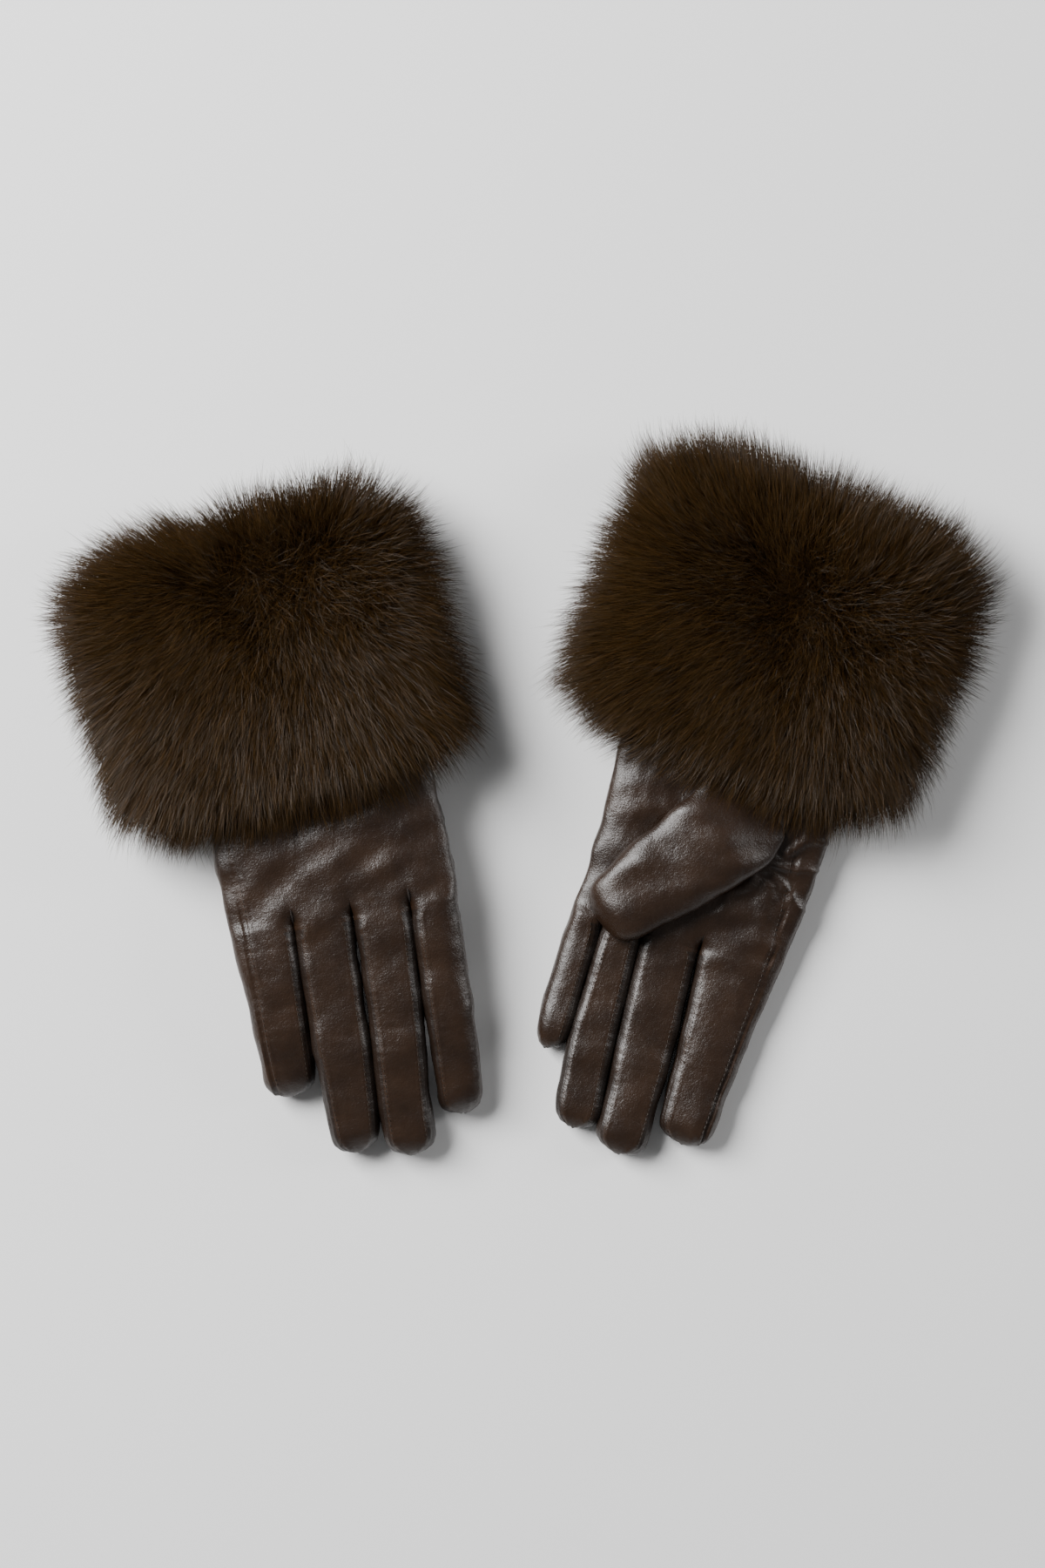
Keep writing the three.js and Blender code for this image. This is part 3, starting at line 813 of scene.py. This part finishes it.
def side_stitches(skin, part, first, last):
    made = []
    for face, points in skin.glove["seams"].items():
        line = curve(points, 3)
        own = FINGERS[0] if points[0][1] < 0 else FINGERS[-1]
        if part in ("palm", own):
            outward = -1.0 if points[0][1] < 0 else 1.0
            made += sew(skin, part, face, lambda y: line(y) - outward * 1.0, first, last, 77)
    return made


# ---------------------------------------------------------------- leather pieces and linings
def joint_point(name):
    return Vector(JOINTS[name]["pos_m"])


def bend_points(glove, joint, reach):
    """Where a bend starts and ends: reach mm either side of its hinge, along the fingers."""
    middle = joint_point(joint)
    along = Vector(turn([[0, -reach * MM, 0]], glove["tilt"])[0])
    return middle - along, middle + along


def wrist_points(glove, reach=11):
    """Where the leather's bend at the wrist starts, on the hand, and ends, inside the cuff."""
    start, end = bend_points(glove, f"{glove['side']}_wrist", reach)
    return end, start


def lining_piece(skin, name, parts, first, last):
    """The knitted lining just inside the leather."""
    quads = [grid_faces(skin.rows(part, face, first, last)[::2, ::2], not flip) for part, face, flip in parts]
    used, faces, _ = own_faces(np.concatenate(quads))
    points = skin.points[used] - LINING_IN * skin.normals[used]
    placed = place_points(skin.glove, points)
    return make_object(name, placed, faces, [LINING], attributes={"rest": points})


def both_faces(part, glove):
    if part == "thumb":
        below = glove["palm"] < 0
        return [("thumb", "outer", below), ("thumb", "inner", not below)]
    return [(part, "top", False), (part, "bottom", True)]


def dress_hand(glove):
    skin = Skin(glove)
    side, wrist = glove["side"], glove["wrist"][1]
    palm_face = "top" if glove["palm"] > 0 else "bottom"
    seams = side_stitches(skin, "palm", wrist, 0.5)
    for face, flip in (("top", False), ("bottom", True)):
        webs = [f"{side}_fourchette_{a}_{b}" for a, b in zip(FINGERS, FINGERS[1:])]
        label, covered = ("palm_panel", []) if face == palm_face else ("back_panel", webs)
        own = [s for s in seams if (s[2][2] > 0) == (face == "top")]
        panel = skin.piece(f"{side}_{label}_leather", [("palm", face, flip)], 200, -0.1, own)
        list(wrist_points(glove))
        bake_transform(panel)
        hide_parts(f"{side}_{label}", *covered)
    lining = lining_piece(skin, f"{side}_palm_lining", both_faces("palm", glove), 200, -0.1)
    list(wrist_points(glove))
    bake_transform(lining)
    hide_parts(f"{side}_hand_lining")

    for name in FINGERS:
        joint = skin.hand.joint(name)
        cut = (glove["knuckle"] + joint) / 2
        rows = skin.rest[skin.sheets[name, "top"][:, ARC // 2], 1]
        cut = rows[np.argmin(np.abs(rows - cut))]
        tip = glove["fingers"][name][0]
        stitches = finger_stitches(skin, name) + side_stitches(skin, name, -0.5, tip + 5)
        spans = (
            ("proximal", 0.1, cut, "hand", name, bend_points(glove, f"{side}_{name}_knuckle", 5.8)),
            ("distal", cut, tip - 1, name, f"{name}_tip", bend_points(glove, f"{side}_{name}_bend", 6.5)),
        )
        dress_segments(skin, name, spans, stitches)
    dress_thumb(skin)


def dress_segments(skin, name, spans, stitches=()):
    """A finger's or thumb's leather and lining. A span is its label, first and last y, two bodies and its bend;
    the bodies and the bend are not used.
    """
    side, faces = skin.glove["side"], both_faces(name, skin.glove)
    for segment, first, last, before, after, bend in spans:
        label = f"{side}_{name}_{segment}"
        leather = skin.piece(f"{label}_leather", faces, first, last, stitches)
        knit = lining_piece(skin, f"{label}_knit", faces, first, last)
        for piece, slot, node in ((leather, "leather", "sleeve"), (knit, "lining", "lining")):
            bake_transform(piece)
            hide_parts(f"{label}_{node}")


def dress_thumb(skin):
    side, thumb = skin.glove["side"], skin.glove["thumb"]
    cut = skin.thumb_ys[np.argmin(np.abs(skin.thumb_ys - (thumb["tip"] * 0.36)))]
    along = Vector(turn([[0, -MM, 0]], skin.glove["tilt"] - thumb["inward"])[0])
    root, bend = joint_point(f"{side}_thumb_swing"), joint_point(f"{side}_thumb_bend")
    spans = (
        ("proximal", 100, cut, "hand", "thumb", (root - 14 * along, root + 14 * along)),
        ("distal", cut, -100, "thumb", "thumb_tip", (bend - 6 * along, bend + 6 * along)),
    )
    dress_segments(skin, "thumb", spans)


# ---------------------------------------------------------------- the fur cuff
HAIRS = 100000
HAIRS_PER_PIECE = 25000
CLUMPS = 8000
STEPS = np.array([0, 0.28, 0.55, 0.8, 1.0])


def cuff_ring(half, angles, power=2.7):
    """A flattened tube's section: points (x, z) and outward normals, at angles."""
    c, s = np.cos(angles), np.sin(angles)
    x = half[0] * np.sign(c) * np.abs(c) ** (2 / power)
    z = half[1] * np.sign(s) * np.abs(s) ** (2 / power)
    nx = np.sign(c) * np.abs(c) ** (2 - 2 / power) / half[0]
    nz = np.sign(s) * np.abs(s) ** (2 - 2 / power) / half[1]
    length = np.hypot(nx, nz)
    return x, z, nx / length, nz / length


def corner_share(fur, y, radius=16):
    """How wide the cuff is at y, with its four corners rounded in plan, as a share of its full width."""
    near = np.clip(radius - np.minimum(y + 5, fur["end"] - y), 0, radius)
    return 1 - (radius - np.sqrt(radius**2 - near**2)) / fur["half"][0]


def hair_roots(glove, rng, count):
    """Roots spread over the cuff's backing, with their outward normals, in cuff space."""
    fur = glove["fur"]
    fine = np.linspace(0, 2 * np.pi, 1441)
    x, z, nx, nz = cuff_ring(fur["half"], fine)
    run = np.concatenate([[0], np.cumsum(np.hypot(np.diff(x), np.diff(z)))])
    many = count * 3
    angle = np.interp(rng.uniform(0, run[-1], many), run, fine)
    x, z, nx, nz = cuff_ring(fur["half"], angle)
    y = rng.uniform(-5, fur["end"], many)
    keep = rng.uniform(size=many) < 0.45 + 0.55 * ease(nz, -0.5, 0.4)
    x, y, z, nx, nz = (v[keep][:count] for v in (x, y, z, nx, nz))
    lip = ease(-y, -3, 5) - ease(y, fur["end"] - 9, fur["end"])
    shrink = 1 - 0.1 * np.abs(lip)
    x = x * corner_share(fur, y) * shrink
    roots = np.column_stack([fur["middle"][0] + x, y, fur["middle"][1] + z * shrink])
    normals = np.column_stack([nx, -0.9 * lip, nz])
    return roots, normals / np.linalg.norm(normals, axis=1)[:, None]


def hair_paths(glove, rng):
    """Hairs as (hairs, steps, 3) paths in cuff space: they radiate from the middle of the cuff and droop."""
    fur = glove["fur"]
    roots, normals = hair_roots(glove, rng, HAIRS)
    count = len(roots)
    cx, cy = fur["centre"]
    above = roots[:, 1] > cy
    spread = np.where(above, 20, 44)
    comb = np.column_stack([(roots[:, 0] - cx) / 60, (roots[:, 1] - cy) / spread, np.zeros(count)])
    comb += 0.22 * np.column_stack([ripple(roots, 17, 31), ripple(roots, 17, 32), ripple(roots, 17, 33)])
    whorl = np.exp(-((comb**2).sum(1) / 0.12))[:, None]
    comb += (0.24 + 0.4 * whorl) * rng.normal(size=(count, 3))
    comb -= normals * (comb * normals).sum(1)[:, None]
    size = np.linalg.norm(comb, axis=1)[:, None]
    comb /= np.maximum(size, 0.95)
    upright = np.clip(normals[:, 2:], 0, 1)
    lay = 0.32 + 0.2 * np.clip(size, 0, 1) + 0.17 * upright + 0.07 * rng.normal(size=(count, 1))
    under = rng.uniform(size=(count, 1)) < 0.3
    length = fur["pile"] * rng.uniform(0.74, 1.08, (count, 1)) * np.where(under, 0.66, 1.0)
    length *= np.where(normals[:, 2:] < -0.3, 0.7, 1.0) * (1 + 0.1 * np.abs(normals[:, :1]))
    length *= 1 + 0.06 * ripple(roots, 26, 34)[:, None]
    t = STEPS[None, :, None]
    rise = t * (1 - 0.42 * lay[:, None] * t) * (1.05 - 0.5 * lay[:, None])
    sweep = lay[:, None] * (0.3 * t + 0.68 * t**2)
    path = roots[:, None] + length[:, None] * (normals[:, None] * rise + comb[:, None] * sweep)
    path[..., 2] -= 0.1 * length * STEPS[None, :] ** 2
    path += 1.4 * rng.normal(size=(count, 1, 3)) * t**2 + 0.3 * rng.normal(size=(count, len(STEPS), 3)) * t
    path = clump(path, roots, rng)
    floor = rng.uniform(0.4, 2.2, (count, 1))
    path[..., 2] = np.maximum(path[..., 2], floor)
    return path, normals, under[:, 0]


def clump(path, roots, rng):
    """Draws each hair towards the leader of its tuft."""
    leaders = rng.choice(len(roots), CLUMPS, replace=False)
    tree = kdtree.KDTree(CLUMPS)
    for number, leader in enumerate(leaders):
        tree.insert(roots[leader], number)
    tree.balance()
    near = leaders[[tree.find(root)[1] for root in roots]]
    pull = rng.uniform(0.2, 0.9, (len(roots), 1, 1)) * STEPS[None, :, None] ** 2
    return path + pull * 0.55 * (path[near] - path)


def hair_faces(count):
    """Ribbon faces of hairs with two vertices a step and one at the tip."""
    steps = len(STEPS)
    per = 2 * (steps - 1) + 1
    start = np.arange(count)[:, None] * per
    quads = [[2 * k, 2 * k + 1, 2 * k + 3, 2 * k + 2] for k in range(steps - 2)]
    quads = (start[:, None] + np.array(quads)[None]).reshape(-1, 4)
    last = 2 * (steps - 2)
    tips = (start + np.array([[last, last + 1, last + 2]])).reshape(-1, 3)
    return quads, tips


def hair_object(glove, name, path, normals, under, rng):
    count = len(path)
    tangent = np.gradient(path, axis=1)
    tangent /= np.maximum(np.linalg.norm(tangent, axis=2), 1e-9)[..., None]
    facing = normals + 0.55 * rng.normal(size=(count, 3))
    side = np.cross(tangent, facing[:, None])
    side /= np.maximum(np.linalg.norm(side, axis=2), 1e-9)[..., None]
    width = np.where(under, 0.14, 0.085)[:, None] * np.array([1.0, 1.0, 0.8, 0.5])[None]
    body, edge = path[:, :-1], side[:, :-1] * width[..., None]
    points = np.concatenate([np.stack([body - edge, body + edge], 2).reshape(count, -1, 3), path[:, -1:]], 1)
    quads, tips = hair_faces(count)
    tint = rng.choice(3, count, p=[0.34, 0.5, 0.16])
    tint[under] = 0
    zones = np.array([0, 1, 1])
    quad_material = (tint[:, None] * 3 + zones[None]).ravel()
    tip_material = tint * 3 + np.where(under, 1, 2)
    placed = place_points(glove, cuff_to_glove(glove, points.reshape(-1, 3)))
    return make_object(name, placed, [quads, tips], FUR, np.concatenate([quad_material, tip_material]))


def tube_sheet(half, middle, ys, shrink, angles):
    """Rings (ys, angles, 3) of a flattened tube in cuff space, each shrunk about its middle."""
    x, z, _, _ = cuff_ring(half, angles)
    rings = [(middle[0] + x * s, x * 0 + y, middle[1] + z * s) for y, s in zip(ys, shrink)]
    return np.stack([np.stack(ring, -1) for ring in rings])


def dress_cuff(glove, seed):
    side, fur = glove["side"], glove["fur"]
    rng = np.random.default_rng(seed)
    path, normals, under = hair_paths(glove, rng)
    order = np.argsort(normals[:, 2] + 0.001 * rng.normal(size=len(normals)))
    labels = ("lowest", "lower", "upper", "top")
    for number, chunk in enumerate(np.array_split(order, math.ceil(len(order) / HAIRS_PER_PIECE))):
        name = f"{side}_fur_{labels[number]}"
        made = hair_object(glove, name, path[chunk], normals[chunk], under[chunk], rng)
        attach(made, f"{side}_cuff")
        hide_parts(f"{side}_fur_cuff")

    angles = np.linspace(0, 2 * np.pi, 121)
    ys = np.concatenate([[-5, -4, -1], np.linspace(2, fur["end"] - 6, 40), [fur["end"] - 2, fur["end"]]])
    shrink = np.concatenate([[0.86, 0.9, 0.96], np.full(40, 0.985), [0.95, 0.9]])
    outer = tube_sheet(fur["half"], fur["middle"], ys, shrink, angles)
    outer[..., 0] = fur["middle"][0] + (outer[..., 0] - fur["middle"][0]) * corner_share(fur, outer[..., 1])
    outer[1:-1, :, 2] += 0.7 * ripple(outer[1:-1].reshape(-1, 3), 7, 41).reshape(outer[1:-1].shape[:2])
    hole = (0, glove["wrist"][2])
    hole_front = tube_sheet((42, 9.5), hole, [-5], [1], angles)
    hole_back = tube_sheet((39, 7.3), hole, [fur["end"]], [1], angles)
    backing = np.concatenate([hole_front, outer, hole_back])
    cuff_tube(glove, f"{side}_cuff_backing", backing, UNDERCOAT, f"{side}_fur_cuff")
    mouth = np.concatenate([[fur["end"] + 0.5], np.linspace(fur["end"] - 1, 2, 30)])
    rolled = np.concatenate([[1.02], np.full(30, 1.0)])
    facing = tube_sheet((38.4, 6.9), hole, mouth, rolled, angles)
    facing[..., 2] += 0.35 * np.sin(facing[..., 0] / 1.9)
    cuff_tube(glove, f"{side}_cuff_lining", facing, FACING, f"{side}_cuff_facing")


def cuff_tube(glove, name, sheet, material, node):
    """An object from a sheet in cuff space, riding the cuff."""
    index = np.arange(sheet.shape[0] * sheet.shape[1]).reshape(sheet.shape[:2])
    flat = sheet.reshape(-1, 3)
    placed = place_points(glove, cuff_to_glove(glove, flat))
    made = make_object(name, placed, [grid_faces(index)], [material], attributes={"rest": flat})
    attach(made, f"{glove['side']}_cuff")
    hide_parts(node)


# ---------------------------------------------------------------- studio
def add_light(name, place, size, power):
    """A soft box that faces the middle of the floor."""
    light = bpy.data.lights.new(name, "AREA")
    light.shape = "RECTANGLE"
    light.size, light.size_y = size
    light.energy = power
    made = bpy.data.objects.new(name, light)
    made.location = place
    made.rotation_euler = (Vector((0, 0, 0)) - Vector(place)).to_track_quat("-Z", "Y").to_euler()
    bpy.context.scene.collection.objects.link(made)


def studio():
    floor = make_object(
        "floor",
        np.array([[-6, -6, -0.0003], [6, -6, -0.0003], [6, 6, -0.0003], [-6, 6, -0.0003]]),
        [np.array([[0, 1, 2, 3]])],
        [plain_material("floor_paper", (0.86, 0.86, 0.86), 0.9, 0.1)],
    )
    add_light("softbox_key", (-1.25, 0.75, 1.25), (1.15, 1.15), 100)
    add_light("softbox_right", (1.9, 0.5, 0.7), (0.5, 1.2), 22)
    add_light("softbox_front", (0.2, -2.2, 0.6), (1.6, 0.4), 3)
    world = bpy.data.worlds.new("studio")
    world.use_nodes = True
    world.node_tree.nodes["Background"].inputs["Color"].default_value = (1, 1, 1, 1)
    world.node_tree.nodes["Background"].inputs["Strength"].default_value = 0.13
    bpy.context.scene.world = world

    view_height = 0.558
    distance = 1.7
    camera = bpy.data.cameras.new("camera")
    camera.sensor_fit = "VERTICAL"
    camera.sensor_height = 36
    camera.lens = 36 * distance / view_height
    made = bpy.data.objects.new("camera", camera)
    made.location = (-0.0026, 0.005, distance + 0.015)
    bpy.context.scene.collection.objects.link(made)
    bpy.context.scene.camera = made


for number, glove in enumerate((RIGHT, LEFT)):
    dress_hand(glove)
    dress_cuff(glove, 100 + number)
studio()
